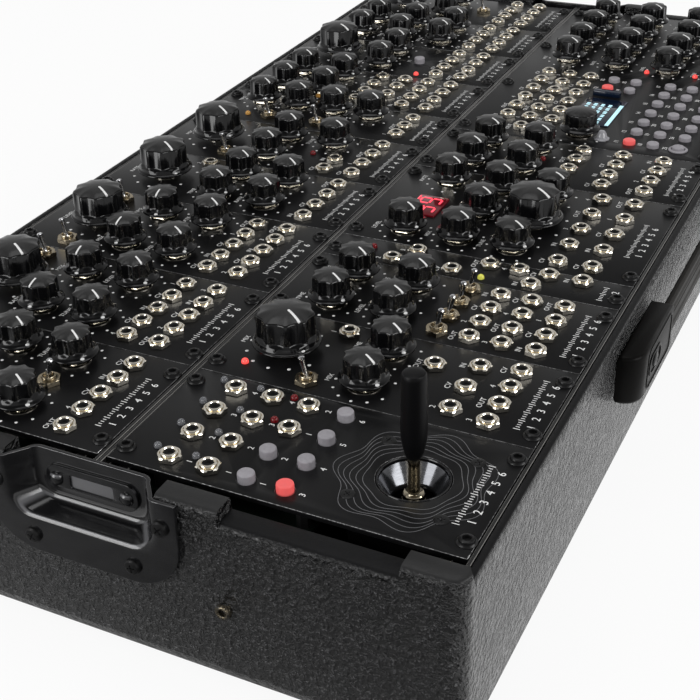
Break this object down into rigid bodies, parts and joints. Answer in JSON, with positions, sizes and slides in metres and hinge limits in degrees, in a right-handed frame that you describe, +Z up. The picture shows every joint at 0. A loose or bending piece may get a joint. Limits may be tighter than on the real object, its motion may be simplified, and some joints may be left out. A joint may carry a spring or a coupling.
{
  "type": "modular synthesizer",
  "caption": "Two-row modular synthesizer in a black travel case, with knobs, toggles, jacks, lit buttons, a joystick, recessed end latches and a strap handle.",
  "frame": {"origin": "centre of the flat underside that the case rests on", "axes": "+X along the module rows to the right, +Y to the rear row, +Z up out of the panels"},
  "size_m": [0.562, 0.2847, 0.1126],
  "materials": {
    "coating": "black textured coat on plywood",
    "panel": "satin black, white print",
    "rail": "black anodised",
    "knob": "glossy black, fluted",
    "steel": "satin black",
    "rubber": "matte black",
    "chrome": "polished nickel",
    "button": "translucent grey",
    "lit_button": "lit red",
    "board": "solder mask"
  },
  "bodies": {
    "rack": {"case_shell": "coating", "rail_front": "rail", "rail_middle_front": "rail", "rail_middle_rear": "rail", "rail_rear": "rail", "latch_keeper_left": "steel", "latch_keeper_right": "steel", "handle_cap_left": "rubber", "handle_cap_right": "rubber", "handle_strap": "rubber", "power_inlet_plate": "steel", "power_bus_board": "board", "joystick_module": "panel", "modulator_module": "panel", "quad_amplifier_module": "panel", "mixer_splitter_module": "panel", "effect_module": "panel", "voltage_tools_module": "panel", "sequencer_module": "panel", "wavetable_oscillator_module": "panel", "oscillator_a_module": "panel", "oscillator_b_module": "panel", "multimode_filter_module": "panel", "lowpass_filter_module": "panel", "envelope_module": "panel", "matrix_mixer_module": "panel", "slow_oscillator_module": "panel", "delay_module": "panel", "output_module": "panel"},
    "joystick_button_mode": {"joystick_button_mode": "button"},
    "joystick_button_record": {"joystick_button_record": "button"},
    "joystick_button_1_lit": {"joystick_button_1_lit": "lit_button"},
    "joystick_button_2": {"joystick_button_2": "button"},
    "joystick_button_3": {"joystick_button_3": "button"},
    "joystick_button_4": {"joystick_button_4": "button"},
    "joystick_gimbal_ring": {"joystick_gimbal_ring": "steel"},
    "joystick_stick": {"joystick_stick": "rubber"},
    "modulator_rate_knob": {"modulator_rate_knob": "knob"},
    "modulator_level_knob": {"modulator_level_knob": "knob"},
    "modulator_crush_knob": {"modulator_crush_knob": "knob"},
    "modulator_toggle": {"modulator_toggle": "chrome"},
    "amplifier_knob_1": {"amplifier_knob_1": "knob"},
    "amplifier_knob_2": {"amplifier_knob_2": "knob"},
    "amplifier_knob_3": {"amplifier_knob_3": "knob"},
    "amplifier_knob_4": {"amplifier_knob_4": "knob"},
    "amplifier_toggle_1": {"amplifier_toggle_1": "chrome"},
    "amplifier_toggle_2": {"amplifier_toggle_2": "chrome"},
    "amplifier_toggle_3": {"amplifier_toggle_3": "chrome"},
    "amplifier_toggle_4": {"amplifier_toggle_4": "chrome"},
    "effect_mix_knob": {"effect_mix_knob": "knob"},
    "sequencer_encoder": {"sequencer_encoder": "knob"},
    "wavetable_knob_left": {"wavetable_knob_left": "knob"},
    "wavetable_knob_right": {"wavetable_knob_right": "knob"},
    "wavetable_toggle": {"wavetable_toggle": "chrome"},
    "oscillator_a_tuning_knob": {"oscillator_a_tuning_knob": "knob"},
    "oscillator_b_tuning_knob": {"oscillator_b_tuning_knob": "knob"},
    "multimode_filter_cutoff_knob": {"multimode_filter_cutoff_knob": "knob"},
    "lowpass_filter_cutoff_knob": {"lowpass_filter_cutoff_knob": "knob"},
    "power_rocker": {"power_rocker": "button"}
  },
  "joints": [
    {"name": "joystick_button_mode_press", "type": "slide", "parent": "rack", "child": "joystick_button_mode", "axis": [0, 0, -1], "range_m": [0, 0.0006], "stiffness_N_per_m": 800, "springref_m": -0.0004},
    {"name": "joystick_button_record_press", "type": "slide", "parent": "rack", "child": "joystick_button_record", "axis": [0, 0, -1], "range_m": [0, 0.0006], "stiffness_N_per_m": 800, "springref_m": -0.0004},
    {"name": "joystick_button_1_lit_press", "type": "slide", "parent": "rack", "child": "joystick_button_1_lit", "axis": [0, 0, -1], "range_m": [0, 0.0006], "stiffness_N_per_m": 800, "springref_m": -0.0004},
    {"name": "joystick_button_2_press", "type": "slide", "parent": "rack", "child": "joystick_button_2", "axis": [0, 0, -1], "range_m": [0, 0.0006], "stiffness_N_per_m": 800, "springref_m": -0.0004},
    {"name": "joystick_button_3_press", "type": "slide", "parent": "rack", "child": "joystick_button_3", "axis": [0, 0, -1], "range_m": [0, 0.0006], "stiffness_N_per_m": 800, "springref_m": -0.0004},
    {"name": "joystick_button_4_press", "type": "slide", "parent": "rack", "child": "joystick_button_4", "axis": [0, 0, -1], "range_m": [0, 0.0006], "stiffness_N_per_m": 800, "springref_m": -0.0004},
    {"name": "joystick_tilt_fore_aft", "type": "hinge", "parent": "rack", "child": "joystick_gimbal_ring", "pos_m": [-0.23368, -0.1005, 0.058], "axis": [1, 0, 0], "range_deg": [-18, 18], "stiffness_Nm_per_rad": 0.05},
    {"name": "joystick_tilt_sideways", "type": "hinge", "parent": "joystick_gimbal_ring", "child": "joystick_stick", "pos_m": [-0.23368, -0.1005, 0.058], "axis": [0, 1, 0], "range_deg": [-18, 18], "stiffness_Nm_per_rad": 0.05},
    {"name": "modulator_rate_turn", "type": "hinge", "parent": "rack", "child": "modulator_rate_knob", "pos_m": [-0.1778, -0.02513, 0.072], "axis": [0, 0, -1], "range_deg": [0, 280]},
    {"name": "modulator_level_turn", "type": "hinge", "parent": "rack", "child": "modulator_level_knob", "pos_m": [-0.18979, -0.06252, 0.072], "axis": [0, 0, -1], "range_deg": [0, 280]},
    {"name": "modulator_crush_turn", "type": "hinge", "parent": "rack", "child": "modulator_crush_knob", "pos_m": [-0.16581, -0.06252, 0.072], "axis": [0, 0, -1], "range_deg": [0, 280]},
    {"name": "modulator_toggle_throw", "type": "hinge", "parent": "rack", "child": "modulator_toggle", "pos_m": [-0.19578, -0.04248, 0.0734], "axis": [1, 0, 0], "range_deg": [0, 24]},
    {"name": "amplifier_1_turn", "type": "hinge", "parent": "rack", "child": "amplifier_knob_1", "pos_m": [-0.13919, -0.02487, 0.072], "axis": [0, 0, -1], "range_deg": [0, 280]},
    {"name": "amplifier_2_turn", "type": "hinge", "parent": "rack", "child": "amplifier_knob_2", "pos_m": [-0.11481, -0.02487, 0.072], "axis": [0, 0, -1], "range_deg": [0, 280]},
    {"name": "amplifier_3_turn", "type": "hinge", "parent": "rack", "child": "amplifier_knob_3", "pos_m": [-0.13919, -0.05122, 0.072], "axis": [0, 0, -1], "range_deg": [0, 280]},
    {"name": "amplifier_4_turn", "type": "hinge", "parent": "rack", "child": "amplifier_knob_4", "pos_m": [-0.11481, -0.05122, 0.072], "axis": [0, 0, -1], "range_deg": [0, 280]},
    {"name": "amplifier_toggle_1_throw", "type": "hinge", "parent": "rack", "child": "amplifier_toggle_1", "pos_m": [-0.14453, -0.07203, 0.0734], "axis": [1, 0, 0], "range_deg": [-24, 0]},
    {"name": "amplifier_toggle_2_throw", "type": "hinge", "parent": "rack", "child": "amplifier_toggle_2", "pos_m": [-0.13284, -0.07203, 0.0734], "axis": [1, 0, 0], "range_deg": [-24, 0]},
    {"name": "amplifier_toggle_3_throw", "type": "hinge", "parent": "rack", "child": "amplifier_toggle_3", "pos_m": [-0.12116, -0.07203, 0.0734], "axis": [1, 0, 0], "range_deg": [-24, 0]},
    {"name": "amplifier_toggle_4_throw", "type": "hinge", "parent": "rack", "child": "amplifier_toggle_4", "pos_m": [-0.10947, -0.07203, 0.0734], "axis": [1, 0, 0], "range_deg": [-24, 0]},
    {"name": "effect_mix_turn", "type": "hinge", "parent": "rack", "child": "effect_mix_knob", "pos_m": [-0.04064, -0.0749, 0.072], "axis": [0, 0, -1], "range_deg": [0, 280]},
    {"name": "sequencer_encoder_turn", "type": "hinge", "parent": "rack", "child": "sequencer_encoder", "pos_m": [0.0651, -0.06368, 0.072], "axis": [0, 0, -1], "continuous": true},
    {"name": "wavetable_left_turn", "type": "hinge", "parent": "rack", "child": "wavetable_knob_left", "pos_m": [-0.25038, 0.04453, 0.072], "axis": [0, 0, -1], "range_deg": [0, 280]},
    {"name": "wavetable_right_turn", "type": "hinge", "parent": "rack", "child": "wavetable_knob_right", "pos_m": [-0.21698, 0.04453, 0.072], "axis": [0, 0, -1], "range_deg": [0, 280]},
    {"name": "wavetable_toggle_throw", "type": "hinge", "parent": "rack", "child": "wavetable_toggle", "pos_m": [-0.23368, 0.04402, 0.0734], "axis": [1, 0, 0], "range_deg": [-24, 0]},
    {"name": "oscillator_a_tuning_turn", "type": "hinge", "parent": "rack", "child": "oscillator_a_tuning_knob", "pos_m": [-0.17272, 0.1048, 0.072], "axis": [0, 0, -1], "range_deg": [0, 280]},
    {"name": "oscillator_b_tuning_turn", "type": "hinge", "parent": "rack", "child": "oscillator_b_tuning_knob", "pos_m": [-0.11176, 0.1048, 0.072], "axis": [0, 0, -1], "range_deg": [0, 280]},
    {"name": "multimode_filter_cutoff_turn", "type": "hinge", "parent": "rack", "child": "multimode_filter_cutoff_knob", "pos_m": [-0.05588, 0.10544, 0.072], "axis": [0, 0, -1], "range_deg": [0, 280]},
    {"name": "lowpass_filter_cutoff_turn", "type": "hinge", "parent": "rack", "child": "lowpass_filter_cutoff_knob", "pos_m": [-0.00508, 0.1048, 0.072], "axis": [0, 0, -1], "range_deg": [0, 280]},
    {"name": "power_rocker_tilt", "type": "hinge", "parent": "rack", "child": "power_rocker", "pos_m": [0.20536, 0.1331, 0.036], "axis": [0, 0, 1], "range_deg": [-18.3, 0]}
  ]
}
